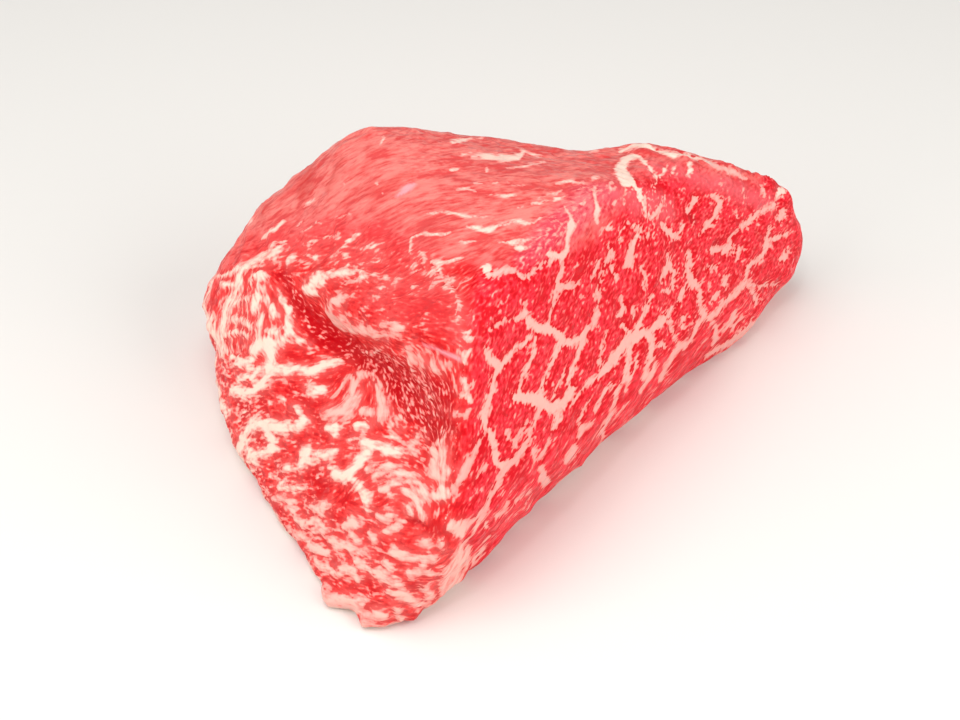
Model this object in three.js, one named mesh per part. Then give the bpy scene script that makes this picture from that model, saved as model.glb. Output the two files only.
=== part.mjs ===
// A raw block of well-marbled top round, as cut for a roast: one solid wedge of meat.
// Millimetres, +Z up. The block rests on its flat underside at z = 0. The long face that was
// cut across the grain looks along -Y, and the origin is the middle of the footprint's box.

import * as THREE from "three";
import { ImprovedNoise } from "three/addons/math/ImprovedNoise.js";
import { mergeVertices } from "three/addons/utils/BufferGeometryUtils.js";

// Driving dimensions
const HEART_HEIGHT = 34; // the heart is the point inside that every face is measured from
const SAG = 2.5; // how far the soft underside is pressed flat by the block's own weight
const FOOT_ROUNDING = 2; // how far above the board the sides begin to turn under
const FREE_HEIGHT = 4; // from here up the board no longer smooths the unevenness away
const EDGE_SHARPNESS = 14; // higher gives crisper edges between the faces
const GRAIN_BEARING = -46; // the way the muscle fibres run, in degrees from +X towards +Y
const MESH_DETAIL = 20; // splits of each edge of the icosahedron that the skin starts from
const MESH_SPAN = new THREE.Vector3(1.45, 1.05, 0.9); // more facets where the block reaches far

// The faces of the wedge. bearing is in degrees from +X towards +Y, rise in degrees above the
// horizon, and distance in millimetres from the heart to the face.
const FACES = [
  { name: "cut across the grain", bearing: -90, rise: 18, distance: 39.8 },
  { name: "belly of the cut", bearing: -92, rise: -4, distance: 41.6 },
  { name: "undercut below it", bearing: -95, rise: -26, distance: 41.9 },
  { name: "fatty end", bearing: 158, rise: 21, distance: 52.4 },
  { name: "toe", bearing: -159, rise: 11, distance: 77.5 },
  { name: "shoulder", bearing: 143, rise: 46, distance: 48.7 },
  { name: "top", bearing: 101, rise: 85, distance: 47.3 },
  { name: "slope to the tip", bearing: 17.5, rise: 64, distance: 46.2 },
  { name: "tip", bearing: -45, rise: -1, distance: 101.4 },
  { name: "waist", bearing: 136, rise: -6, distance: 74.2 },
  { name: "flank", bearing: 78, rise: 24, distance: 64.7 },
  { name: "back", bearing: 37, rise: 20.5, distance: 48.7 },
  { name: "underside", bearing: 0, rise: -90, distance: HEART_HEIGHT + SAG },
];

// Lumps and dents. Each lies where its bearing and rise from the heart meet the faces, spreads
// over radius millimetres and stands height millimetres proud.
const LUMPS = [
  { name: "knob of fat on the ridge", bearing: -14, rise: 29, radius: 12, height: 3.8 },
  { name: "dip beside the knob", bearing: -5, rise: 34, radius: 12, height: -1.7 },
  { name: "sunken far rim", bearing: 14, rise: 41, radius: 16, height: -1.6 },
  { name: "crown", bearing: 74, rise: 42, radius: 15, height: 1.4 },
  { name: "dent in the shoulder", bearing: 104, rise: 28, radius: 11, height: -1 },
  { name: "corner of the shoulder", bearing: 98, rise: 15, radius: 10, height: 1.9 },
  { name: "waist", bearing: 109, rise: -8, radius: 10, height: 1.6 },
  { name: "cheek", bearing: 162, rise: -5, radius: 26, height: 1.2 },
  { name: "tuck behind the cheek", bearing: 150, rise: -26, radius: 14, height: -0.9 },
  { name: "tuck before the toe", bearing: 175, rise: -24, radius: 12, height: -1.2 },
  { name: "lump at the toe", bearing: -177, rise: -24, radius: 7, height: 2.3 },
  { name: "flap at the toe", bearing: -157, rise: -24, radius: 8, height: 4.3 },
  { name: "ball of the toe", bearing: -148, rise: -29, radius: 10, height: 2.9 },
  { name: "tuck under the cut", bearing: -88, rise: -40, radius: 12, height: -0.7 },
  { name: "tuck nearer the tip", bearing: -70, rise: -36, radius: 12, height: -0.9 },
  { name: "heel of the tip", bearing: -31, rise: -22, radius: 13, height: 7.3 },
  { name: "nub at the tip", bearing: -25, rise: -11, radius: 10, height: 4.3 },
  { name: "edge of the tip", bearing: -23, rise: 4, radius: 8, height: 2 },
  { name: "brow of the tip", bearing: -18, rise: 23, radius: 9, height: 1.3 },
];

// Folds follow a line of stations across the surface, each given as bearing, rise and radius.
const FOLDS = [
  {
    name: "hollow under the lip",
    height: -7,
    stations: [
      [126, 14, 3],
      [146, 17, 5],
      [165, 20, 7],
      [186, 22, 9],
      [199, 21, 11],
      [205, 12, 9],
    ],
  },
  {
    name: "scoop below the hollow",
    height: -3.5,
    stations: [
      [140, 11, 6],
      [168, 13, 9],
      [187, 14, 12],
      [200, 12, 12],
      [205, 2, 8],
    ],
  },
  {
    name: "lip above the hollow",
    height: 4,
    stations: [
      [137, 28, 4],
      [163, 34, 6],
      [188, 39, 6],
      [205, 40, 6],
    ],
  },
  {
    name: "crest of the front edge",
    height: 3.5,
    stations: [
      [211, 44, 4],
      [211, 30, 5],
      [210, 14, 5],
      [208, -4, 4],
    ],
  },
];

// Unevenness from coarse to fine: size of the waves across and along the grain, and height
const WAVES = [
  { across: 34, along: 46, height: 1.5 },
  { across: 15, along: 30, height: 0.8 },
  { across: 7.5, along: 16, height: 0.5 },
];

function towards(bearing, rise) {
  const [b, r] = [bearing, rise].map(THREE.MathUtils.degToRad);
  return new THREE.Vector3(Math.cos(b) * Math.cos(r), Math.sin(b) * Math.cos(r), Math.sin(r));
}

const faces = FACES.map(({ bearing, rise, distance }) => ({
  distance,
  normal: towards(bearing, rise),
}));

// The point where a ray from the heart meets the faces, whose edges are rounded together.
function onFaces(direction) {
  let nearness = 0;
  for (const { normal, distance } of faces) {
    const facing = Math.max(direction.dot(normal) / distance, 0);
    nearness += facing ** EDGE_SHARPNESS;
  }
  return direction.clone().multiplyScalar(nearness ** (-1 / EDGE_SHARPNESS));
}

// A smooth bell that is 1 at no distance and fades out over a radius
function bell(distance, radius) {
  return Math.exp(-((distance / radius) ** 2));
}

const lumps = LUMPS.map(({ bearing, rise, radius, height }) => {
  const middle = onFaces(towards(bearing, rise));
  return (point) => height * bell(point.distanceTo(middle), radius);
});

const STEPS_ALONG_FOLD = 40;
const folds = FOLDS.map(({ height, stations }) => {
  const line = new THREE.CatmullRomCurve3(stations.map(([b, r]) => onFaces(towards(b, r))));
  const radii = new THREE.SplineCurve(stations.map(([, , radius], i) => new THREE.Vector2(i, radius)));
  const steps = Array.from({ length: STEPS_ALONG_FOLD + 1 }, (_, i) => {
    const t = i / STEPS_ALONG_FOLD;
    return { place: line.getPoint(t), radius: radii.getPoint(t).y, fade: Math.sin(Math.PI * t) ** 0.5 };
  });
  return (point) => {
    const shares = steps.map(({ place, radius, fade }) => fade * bell(point.distanceTo(place), radius));
    return height * Math.max(...shares);
  };
});

const noise = new ImprovedNoise();
const grain = towards(GRAIN_BEARING, 0);
const acrossGrain = towards(GRAIN_BEARING + 90, 0);
const waves = WAVES.map(({ across, along, height }, i) => (point) => {
  const shift = 20 * (i + 1); // keeps the sizes from lining up at the heart
  const u = point.dot(grain) / along + shift;
  const v = point.dot(acrossGrain) / across + shift;
  const free = THREE.MathUtils.smoothstep(point.z + HEART_HEIGHT, -SAG, FREE_HEIGHT);
  return free * height * noise.noise(u, v, point.z / across + shift);
});

// How far the real surface stands proud of the rounded faces, in millimetres
function relief(point) {
  return [...lumps, ...folds, ...waves].reduce((sum, part) => sum + part(point), 0);
}

// The height of a point once the block has settled on the board: flat below it, with a round turn
function settle(height) {
  const turn = THREE.MathUtils.clamp((height + FOOT_ROUNDING) / (2 * FOOT_ROUNDING), 0, 1);
  return height > FOOT_ROUNDING ? height : FOOT_ROUNDING * turn ** 2;
}

function blockGeometry() {
  const skin = new THREE.IcosahedronGeometry(1, MESH_DETAIL);
  skin.deleteAttribute("normal");
  skin.deleteAttribute("uv");
  const geometry = mergeVertices(skin, 1e-5);
  const position = geometry.getAttribute("position");
  const point = new THREE.Vector3();
  for (let i = 0; i < position.count; i++) {
    const direction = point.fromBufferAttribute(position, i).multiply(MESH_SPAN).normalize().clone();
    const bare = onFaces(direction);
    point.copy(bare).addScaledVector(direction, relief(bare));
    point.z = settle(point.z + HEART_HEIGHT);
    position.setXYZ(i, ...point);
  }
  geometry.computeBoundingBox();
  const middle = geometry.boundingBox.getCenter(new THREE.Vector3());
  geometry.translate(-middle.x, -middle.y, 0);
  geometry.computeVertexNormals();
  return geometry;
}

const meat = new THREE.Mesh(
  blockGeometry(),
  new THREE.MeshStandardMaterial({ color: 0xd9404a, roughness: 0.4, metalness: 0 }),
);
meat.name = "meat";

const block = new THREE.Group();
block.add(meat);

export default block;
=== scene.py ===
# A raw block of well-marbled top round, dressed around its solid: one piece of meat with the
# relief of its muscle bundles, its seams of fat and the colours of its cut and torn faces.
# Sizes are millimetres unless a name says pixels. MM turns them to Blender's metres.

import math

import bmesh
import bpy
import numpy as np
from mathutils import Matrix, noise


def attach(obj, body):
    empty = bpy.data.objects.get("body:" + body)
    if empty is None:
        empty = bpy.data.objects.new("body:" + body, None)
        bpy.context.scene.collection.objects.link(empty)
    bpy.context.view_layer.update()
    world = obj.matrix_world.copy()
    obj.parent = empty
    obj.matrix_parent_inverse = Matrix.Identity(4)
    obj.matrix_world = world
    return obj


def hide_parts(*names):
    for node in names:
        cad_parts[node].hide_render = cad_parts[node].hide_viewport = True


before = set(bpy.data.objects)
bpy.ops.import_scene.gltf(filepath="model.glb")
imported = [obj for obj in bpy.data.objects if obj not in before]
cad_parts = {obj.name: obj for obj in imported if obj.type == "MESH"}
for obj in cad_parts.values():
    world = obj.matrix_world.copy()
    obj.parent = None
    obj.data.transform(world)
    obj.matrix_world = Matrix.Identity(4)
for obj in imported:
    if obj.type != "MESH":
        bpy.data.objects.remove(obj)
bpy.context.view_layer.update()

MM = 0.001

# The camera stands at the photograph's viewing angle. An azimuth of 0 looks along +Y.
AZIMUTH = math.radians(-54.43)
ELEVATION = math.radians(42)
DISTANCE = 470
AIM = np.array([-25.09, -27.69, 35.0])
LENS = 70
SENSOR = 36
PHOTO_WIDTH = 960
PHOTO_HEIGHT = 720
PIXELS_PER_MM = 4  # of the photograph, on the block

RIGHT = np.array([math.cos(AZIMUTH), math.sin(AZIMUTH), 0])
BACK = np.array([
    math.sin(AZIMUTH) * math.cos(ELEVATION),
    -math.cos(AZIMUTH) * math.cos(ELEVATION),
    math.sin(ELEVATION),
])
UP = np.cross(BACK, RIGHT)
EYE = AIM + BACK * DISTANCE

# The muscle fibres run through the whole block in one direction. The columns of GRAIN_FRAME
# are two directions across them and the one along them.
GRAIN = np.array([0.62, -0.62, 0.48]) / np.linalg.norm([0.62, -0.62, 0.48])
ACROSS = np.cross([0, 0, 1], GRAIN) / np.linalg.norm(np.cross([0, 0, 1], GRAIN))
GRAIN_FRAME = np.column_stack([ACROSS, np.cross(GRAIN, ACROSS), GRAIN])

# The skin's mesh, finer on the faces that the photograph shows
SKIN_SPACING = 1.34
RELAXING = 6

# The point inside the block that bearings are taken from
HEART = np.array([-11.1, -21.4, 34.0])

# Bearings from HEART, in degrees, over which one face of the block passes into the next
TO_TORN_END = (100, 125)
TO_KNIFE_CUT = (206, 213)
FROM_KNIFE_CUT = (338, 352)
LEVEL = (0.4, 0.8)  # how far a hidden face has to look upwards to count as a top
BROAD_ROUNDS = 60  # of averaging, which leave only the broad shape of the block

# How squarely a place faces the eye, from 0 where it is seen edge on to 1
SEEN = (0.04, 0.2)  # over these the drawings below fade in
FINER_FROM = 0.06  # from here up the skin's mesh is finer

# How far a seam's say reaches into the lean round it. The less, the more flecks of fat there.
FLECK_REACH = {"cut": 0.76, "torn": 0.22, "along": 0.68}

# How much fuller than drawn a seam looks on the torn end and where it is cut
SWELL = {"torn": 0.58, "cut": 0.1}

# Seams wider than THIN pixels were drawn round their soft edges, so only a share of what they
# are wider counts
THIN = 4
SLIM = 0.68

# Muscle bundles where the photograph doesn't reach
BUNDLE_ACROSS = 9.5
BUNDLE_ALONG = 42
BUNDLE_BEND = 2.5
WALL = 1.5  # of fat between two bundles, where they are cut across
WALL_ALONG = 0.42  # share of it that shows where the surface runs along the bundles

HALO = 0.8  # how far the fat of the torn end pales the lean round it

# Relief of the surface
LOBE_RISE = 0.45  # of a cut bundle over the seams round it
LOBE_ROUNDING = 0.9  # of its sides
FAT_RISE = 0.6  # of the soft fat on the torn end
FIBRE_RISE = 0.16
CRUMB = 1.0  # unevenness of the block's edges
CLOT_DEPTH = 0.5
PIT_DEPTH = 0.3  # of the pits in the hollow
FOOT = (0.3, 3.5)  # heights over which the board lets go of the relief
BEHIND_OUTLINE = (-0.6, -0.1)  # facings over which the bumps of the outline fade in

# Unevenness of each kind: the size of its waves across and along the grain, and a seed
UNEVEN = {
    "bundles": (14, 40, 3),
    "walls": (9, 20, 33),
    "seams": (2.2, 3.5, 41),
    "washes": (6, 14, 45),
    "fibres": (1.3, 9, 61),
    "crumbs": (4.5, 6, 71),
    "fine crumbs": (2.2, 3, 75),
    "pits": (3, 3, 81),
    "flecks": (7, 12, 91),
    "halo": (3, 5, 95),
}

# Half the length over which the fine pattern is drawn out along the fibres
COMBED = {"along": 2.2, "cut": 0.9, "torn": 1.7}

# Degrees below the photograph's horizontal that the strokes point to, so that neighbours agree
COMB_TOWARDS = {"end": 30, "cut": -60}

# What each wash adds to how fine the pattern is, and to the reach of a seam's say. Along the ridge
# the finer pattern and the extra pale flecks are painted glints of its sheen.
FINER = {"hollow": 1, "ridge_sheen": 0.9, "calm": 0.5, "flecked": 0.35, "streaked": -1}
FARTHER = {"flecked": -0.16, "ridge_sheen": -0.6, "calm": 0.4, "streaked": -0.25}
FINER_CUT = 0.3  # what the knife's cut adds to the first
PATCHY = 0.3  # how unevenly the flecks are spread

# Pixels of the photograph
FAR = 30  # beyond which a seam has no say
FILLET = 2.5  # over which two seams that meet run together
SEAM_WOBBLE = 2.1  # by which seams stray from their drawing
FIBRE_REACH = 12  # round a drawn run of fibres that are all its own

# Seams and patches of fat, drawn over the photograph: each is a path of places
# (x, y, width) in photo pixels. cream is 0 for fat tinted pink by the meat below it and 1 for
# thick white fat.
SEAMS = [
    {
        "name": "rows of bundles under the ridge",
        "cream": 0.1,
        "paths": [
            # This first path is a painted highlight along the rounded ridge, a pale pink band drawn like
            # fat
            [(490, 276, 5), (500, 272, 5), (515, 271, 5), (522, 277, 5), (528, 276, 5), (535, 270, 5),
             (545, 262, 5), (555, 258, 4)],
            [(563, 255, 4), (561, 270, 4), (559, 282, 8), (556, 294, 6), (553, 306, 3), (550, 316, 3)],
            [(560, 288, 8), (570, 286, 6), (580, 281, 3)],
            [(610, 256, 4), (603, 270, 2.5), (599, 284, 3), (597, 293, 4), (598, 303, 3),
             (596, 313, 6), (591, 324, 7), (585, 336, 7), (581, 346, 5), (578, 356, 3)],
            [(609, 246, 3), (612, 254, 8), (606, 262, 3)],
            [(633, 240, 3), (632, 250, 7), (630, 260, 9), (627, 266, 5)],
            [(598, 262, 3), (594, 272, 3), (591, 282, 2)],
            [(612, 268, 4), (616, 278, 3)],
            [(621, 298, 3), (623, 307, 5), (620, 315, 5)],
            [(634, 308, 3), (633, 317, 4)],
            [(490, 330, 2.5), (500, 323, 3), (512, 319, 3), (525, 318, 4)],
            [(606, 332, 3), (603, 342, 4), (600, 352, 3), (598, 360, 4), (601, 366, 6)],
        ],
    },
    {
        "name": "web between the middle rows",
        "cream": 0.25,
        "paths": [
            [(524, 302, 3), (525, 315, 6), (530, 323, 8), (538, 328, 14), (546, 328, 14),
             (556, 333, 8), (564, 342, 10), (572, 342, 7), (584, 336, 6)],
            [(530, 338, 6), (521, 345, 6), (512, 353, 7), (504, 361, 8), (498, 368, 8), (494, 379, 6),
             (491, 392, 6), (487, 404, 9), (484, 416, 11), (485, 427, 6)],
            [(484, 345, 3), (487, 352, 8), (492, 360, 9), (498, 366, 9)],
            [(489, 430, 6), (494, 440, 9), (494, 452, 7), (497, 462, 6), (503, 466, 10)],
            [(537, 338, 4), (534, 350, 3), (531, 360, 4), (527, 370, 6), (522, 380, 5), (519, 390, 7),
             (520, 398, 10)],
            [(560, 343, 8), (556, 352, 4), (551, 364, 3.5), (545, 376, 3), (541, 388, 4), (540, 398, 8)],
            [(581, 346, 4), (577, 357, 3), (573, 367, 3.5), (570, 379, 5), (568, 391, 5), (564, 401, 7)],
            [(565, 369, 3), (560, 380, 2.5), (556, 390, 2.5), (554, 397, 3)],
            [(516, 397, 12), (528, 398, 14), (540, 401, 15), (551, 408, 14), (560, 405, 12),
             (567, 396, 10), (573, 388, 6)],
            [(558, 414, 7), (556, 422, 5), (552, 432, 2)],
        ],
    },
    {
        "name": "seams down to the foot",
        "cream": 0.05,
        "paths": [
            [(540, 410, 6), (536, 419, 5), (532, 429, 3.5), (528, 439, 6), (523, 449, 7),
             (517, 457, 6), (510, 464, 9), (504, 472, 9), (499, 482, 6), (494, 492, 5), (489, 501, 5),
             (484, 510, 5), (478, 517, 5), (468, 524, 8)],
            [(482, 436, 3), (478, 445, 5), (473, 454, 5), (468, 464, 7), (464, 474, 7), (459, 483, 6),
             (453, 489, 3)],
            [(485, 466, 4), (479, 472, 4), (474, 477, 3)],
            [(457, 414, 5), (466, 414, 5)],
            [(575, 446, 5), (571, 454, 10), (567, 462, 6)],
            [(541, 468, 6), (544, 478, 12), (548, 484, 12)],
            [(590, 424, 4), (583, 428, 8), (578, 437, 4)],
            [(606, 422, 4), (602, 430, 7), (603, 437, 4)],
            [(616, 400, 3), (612, 411, 4), (606, 422, 5)],
            [(548, 440, 2), (546, 450, 4), (541, 460, 3)],
            [(535, 450, 3), (534, 460, 3)],
            [(507, 431, 5), (508, 438, 5)],
            [(521, 432, 3), (517, 440, 3), (512, 448, 3)],
            [(526, 423, 4), (522, 430, 3)],
            [(508, 503, 3), (503, 512, 3), (496, 516, 5)],
            [(530, 492, 3), (524, 496, 3), (515, 500, 2)],
            [(536, 505, 3), (530, 508, 3)],
            [(561, 476, 3), (556, 484, 3)],
        ],
    },
    {
        "name": "trunk of fat across the narrow part, and its branches",
        "cream": 0.2,
        "paths": [
            [(606, 369, 9), (612, 362, 10), (618, 352, 11), (624, 345, 12), (632, 338, 13),
             (640, 333, 13), (648, 332, 9), (655, 327, 9), (662, 322, 10), (668, 316, 6), (672, 309, 3)],
            [(636, 330, 6), (640, 321, 6), (644, 313, 4), (649, 304, 3), (651, 295, 2)],
            [(632, 336, 6), (625, 328, 5), (622, 322, 3)],
            [(650, 336, 9), (652, 346, 6), (650, 357, 7), (648, 367, 5), (644, 378, 5)],
            [(629, 345, 8), (629, 357, 5), (627, 368, 5), (624, 380, 5)],
            [(638, 362, 3), (630, 378, 3.5), (626, 390, 2)],
            [(656, 362, 3), (650, 376, 4), (640, 392, 3)],
            [(628, 372, 3), (619, 388, 3.5), (613, 400, 3)],
            [(612, 384, 3), (603, 396, 3.5), (596, 410, 3)],
            [(590, 400, 3), (582, 412, 3.5), (578, 424, 3)],
            [(616, 352, 9), (610, 360, 9), (606, 369, 9), (598, 376, 6), (590, 382, 5), (583, 388, 4),
             (577, 396, 4), (572, 404, 4)],
        ],
    },
    {
        "name": "rows towards the tip",
        "cream": 0.1,
        "paths": [
            [(690, 272, 3), (691, 282, 12), (698, 285, 10)],
            [(684, 290, 7), (680, 298, 6), (677, 304, 2)],
            [(699, 292, 5), (700, 302, 4), (702, 310, 6)],
            [(702, 312, 8), (708, 318, 9), (716, 313, 5), (722, 305, 5), (729, 299, 6), (737, 291, 6),
             (744, 285, 7), (747, 281, 4)],
            [(747, 285, 4), (752, 292, 5), (756, 302, 4)],
            [(704, 318, 8), (698, 325, 8), (694, 335, 7), (688, 343, 7), (680, 348, 7), (674, 354, 6),
             (670, 363, 5), (664, 372, 5), (660, 379, 4)],
            [(747, 284, 4), (760, 286, 3), (775, 283, 3)],
            [(668, 264, 4), (674, 272, 5), (671, 284, 4)],
            [(640, 268, 3), (646, 276, 4), (643, 288, 3)],
            [(684, 318, 6), (682, 326, 5)],
            [(661, 344, 6), (666, 347, 5)],
            [(669, 322, 4), (672, 333, 4), (677, 341, 3), (682, 346, 3)],
            [(715, 326, 5), (716, 335, 6), (713, 345, 5)],
            [(752, 322, 5), (742, 332, 8), (734, 340, 6), (724, 346, 6), (714, 350, 5), (706, 356, 3)],
            [(735, 312, 4), (733, 320, 8), (726, 325, 5)],
            [(742, 318, 4), (734, 326, 5), (722, 330, 3)],
            [(752, 262, 6), (748, 268, 7), (746, 276, 3)],
            [(725, 276, 5), (724, 284, 5)],
            [(709, 283, 3), (708, 290, 2)],
            [(718, 294, 3), (711, 302, 3)],
            [(668, 252, 3), (670, 264, 7), (664, 272, 5), (661, 283, 6)],
            [(674, 280, 3), (673, 287, 6)],
            [(662, 291, 3), (668, 292, 4)],
            [(688, 252, 3), (690, 262, 6), (687, 274, 3)],
            [(712, 250, 6), (722, 251, 9), (730, 246, 7), (731, 237, 5), (737, 231, 3)],
            [(738, 250, 3), (739, 260, 4)],
            [(742, 249, 4), (733, 252, 4)],
            [(706, 268, 4), (714, 268, 5)],
        ],
    },
    {
        "name": "cream rim of the far edge",
        "cream": 0.9,
        "paths": [
            [(620, 150, 5), (640, 147, 8), (655, 150, 5), (668, 152, 6), (680, 155, 7), (692, 157, 7),
             (702, 159, 5), (710, 163, 4)],
            [(660, 178, 3), (664, 170, 4), (668, 164, 2)],
            [(689, 165, 6), (689, 171, 8)],
            [(674, 168, 5), (672, 176, 3)],
            [(784, 184, 6), (780, 192, 8), (777, 199, 4)],
        ],
    },
    {
        "name": "pink rim and the short seams below it",
        "cream": 0.15,
        "paths": [
            [(712, 165, 6), (725, 169, 6), (738, 174, 6), (748, 179, 4)],
            [(646, 198, 4), (646, 210, 4), (649, 218, 4), (655, 215, 7), (660, 206, 5), (664, 198, 3)],
            [(662, 224, 5), (669, 232, 8), (676, 239, 4)],
            [(648, 234, 3), (649, 237, 3)],
            [(695, 199, 5), (691, 204, 6), (687, 212, 5)],
            [(682, 227, 4), (680, 232, 3)],
            [(721, 200, 6), (718, 208, 4), (714, 216, 5), (709, 224, 6), (703, 230, 5), (700, 234, 3)],
            [(712, 197, 4), (718, 198, 4)],
            [(774, 206, 7), (765, 208, 5), (757, 214, 5), (750, 221, 6), (742, 224, 6)],
            [(782, 212, 10), (780, 219, 6)],
            [(770, 228, 5), (768, 238, 6), (767, 247, 7), (763, 255, 5), (756, 261, 4)],
            [(786, 234, 5), (778, 237, 5), (770, 240, 5)],
            [(789, 250, 4), (783, 256, 6), (778, 259, 4)],
            [(762, 187, 5), (764, 196, 4)],
            [(743, 190, 4), (744, 195, 3)],
            [(736, 216, 2), (737, 219, 2)],
        ],
    },
    {
        "name": "knob of fat on the ridge",
        "cream": 0.9,
        "paths": [
            [(615, 170, 6), (621, 165, 10), (627, 160, 10), (632, 157, 9), (640, 159, 6), (647, 164, 4),
             (653, 170, 4), (657, 177, 4), (656, 183, 3)],
            [(622, 165, 14), (622, 172, 16), (626, 178, 18), (630, 182, 14)],
            [(634, 186, 6), (638, 190, 7), (641, 196, 6)],
            [(643, 202, 6), (645, 209, 5), (648, 215, 5)],
        ],
    },
    {
        "name": "crest of the ridge",
        "cream": 0.45,
        "paths": [
            [(612, 182, 2), (616, 188, 2)],
            [(627, 190, 2), (624, 198, 2), (623, 204, 2)],
            [(640, 228, 4), (636, 226, 3), (632, 228, 3)],
            [(638, 232, 3), (634, 239, 3), (632, 246, 3)],
            [(610, 228, 5), (606, 230, 3)],
            [(620, 240, 3), (618, 243, 2)],
            [(626, 222, 2), (622, 230, 2)],
            [(594, 187, 4), (596, 197, 5), (597, 206, 7), (596, 215, 9), (598, 221, 5)],
            [(564, 205, 2), (567, 211, 3), (570, 217, 5), (571, 224, 12), (570, 231, 9), (568, 240, 5),
             (566, 250, 4), (563, 257, 5)],
            [(549, 254, 6), (556, 255, 7), (562, 258, 6)],
            [(580, 205, 4), (584, 203, 5)],
            [(610, 183, 3), (609, 190, 5)],
            [(617, 200, 3), (614, 204, 2)],
        ],
    },
    {
        "name": "foot of the front edge",
        "cream": 0.4,
        "paths": [
            [(453, 526, 12), (461, 527, 14), (463, 522, 8), (460, 534, 6)],
            [(479, 523, 3), (474, 531, 3), (469, 540, 4), (462, 547, 4), (459, 554, 8), (455, 563, 7),
             (449, 570, 6), (444, 578, 5), (441, 584, 4)],
            [(470, 548, 4), (466, 556, 6), (460, 562, 8), (457, 571, 8), (452, 579, 7), (446, 586, 5),
             (440, 592, 4)],
            [(484, 548, 4), (480, 555, 6), (473, 562, 4)],
            [(490, 536, 3), (484, 543, 3)],
            [(486, 527, 4), (485, 522, 3)],
            [(466, 566, 4), (468, 560, 3)],
            [(424, 540, 5), (428, 545, 3)],
            [(441, 543, 3), (443, 548, 2)],
            [(424, 587, 4), (429, 593, 4), (429, 600, 4)],
            [(433, 558, 4), (430, 552, 3)],
            [(425, 555, 4), (424, 563, 5), (427, 571, 3)],
        ],
    },
    {
        "name": "branching fat on the cheek",
        "cream": 1.0,
        "paths": [
            [(214, 277, 4), (208, 290, 6), (206, 304, 6), (210, 320, 6), (216, 338, 6), (219, 352, 5)],
            [(218, 277, 4), (232, 273, 4), (246, 268, 4), (258, 262, 4), (268, 256, 3)],
            [(262, 292, 3), (258, 304, 3), (261, 318, 4), (260, 332, 5), (262, 342, 8)],
            [(232, 318, 3), (244, 321, 3), (254, 328, 3)],
            [(226, 334, 3), (238, 332, 3), (250, 336, 3)],
            [(268, 332, 2), (276, 333, 3), (284, 329, 2)],
            [(228, 300, 3), (238, 303, 3), (246, 298, 3)],
            [(243, 275, 6), (238, 285, 6), (234, 295, 6), (229, 305, 10), (226, 318, 8), (224, 332, 6),
             (222, 345, 5), (220, 355, 4)],
            [(222, 284, 5), (233, 285, 5)],
            [(252, 278, 4), (260, 275, 7), (262, 285, 6), (261, 298, 3)],
            [(255, 300, 9), (256, 309, 5)],
            [(280, 290, 2), (284, 300, 6), (289, 309, 12), (291, 320, 9), (292, 330, 7), (287, 336, 5),
             (281, 341, 6), (276, 344, 8)],
            [(274, 306, 4), (276, 314, 5)],
            [(256, 350, 12), (262, 344, 16), (270, 343, 14), (276, 344, 10)],
            [(272, 350, 14), (272, 360, 12), (271, 370, 12), (265, 380, 9), (259, 388, 8)],
            [(262, 384, 10), (254, 391, 9), (245, 393, 9), (235, 391, 7)],
            [(277, 368, 7), (287, 370, 8), (298, 370, 8), (309, 371, 6), (318, 370, 5), (326, 365, 10),
             (335, 362, 11), (341, 361, 6)],
            [(301, 341, 4), (306, 343, 3)],
            [(320, 277, 9), (314, 284, 12), (307, 289, 8), (316, 292, 6)],
            [(310, 388, 7), (317, 391, 8), (323, 390, 5)],
            [(243, 378, 5), (247, 377, 4)],
            [(233, 358, 4), (242, 359, 4), (252, 362, 3)],
            [(234, 365, 2), (244, 363, 2), (256, 370, 2)],
            [(259, 368, 3), (255, 378, 4)],
        ],
    },
    {
        "name": "thin fat in the hollow",
        "cream": 0.35,
        "paths": [
            [(344, 295, 4), (339, 301, 4), (334, 303, 5), (332, 310, 6), (336, 318, 6), (343, 325, 5),
             (352, 328, 5), (362, 330, 4), (372, 332, 3), (382, 335, 2)],
            [(384, 325, 3), (393, 326, 4), (401, 326, 4)],
            [(364, 352, 5), (371, 355, 4), (377, 352, 4)],
            [(352, 352, 3), (351, 358, 3)],
            [(361, 376, 6), (368, 374, 6)],
            [(353, 380, 6), (357, 388, 8), (355, 398, 9), (350, 404, 9), (344, 410, 10), (336, 412, 10),
             (328, 414, 8)],
            [(374, 371, 5), (377, 378, 6), (381, 387, 5), (382, 397, 6), (384, 408, 7), (380, 416, 6)],
            [(364, 410, 6), (369, 413, 5)],
            [(409, 348, 2.5), (412, 360, 5), (413, 372, 5), (418, 378, 3)],
            [(421, 355, 2), (425, 366, 3)],
            [(434, 362, 4), (438, 370, 4)],
            [(421, 378, 5), (424, 386, 5)],
            [(430, 395, 5), (431, 398, 5)],
            [(411, 402, 4), (409, 412, 4)],
            [(385, 400, 7), (383, 412, 6), (380, 420, 4)],
            [(436, 415, 4), (431, 408, 2)],
            [(413, 447, 5), (416, 453, 4)],
        ],
    },
    {
        "name": "beside the front edge, and a highlight painted along it",
        "cream": 0.45,
        "paths": [
            [(455, 295, 3), (458, 305, 4), (460, 315, 7), (459, 322, 4)],
            [(465, 340, 9), (470, 338, 6)],
            [(462, 333, 3), (470, 332, 3)],
            [(467, 352, 3), (464, 362, 4)],
            [(464, 380, 3), (467, 389, 3)],
            [(462, 396, 7), (468, 398, 6)],
            [(440, 432, 3), (438, 442, 4), (436, 452, 4), (434, 462, 4), (436, 474, 4)],
            # This path is a painted highlight down the rounded front edge, a pale band drawn like fat
            [(448, 432, 6), (444, 440, 5), (443, 452, 6), (443, 464, 6), (446, 472, 4)],
            [(446, 480, 6), (438, 476, 3)],
        ],
    },
    {
        "name": "thick fat across the middle of the end",
        "cream": 1.0,
        "paths": [
            [(226, 410, 5), (228, 415, 4)],
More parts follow.
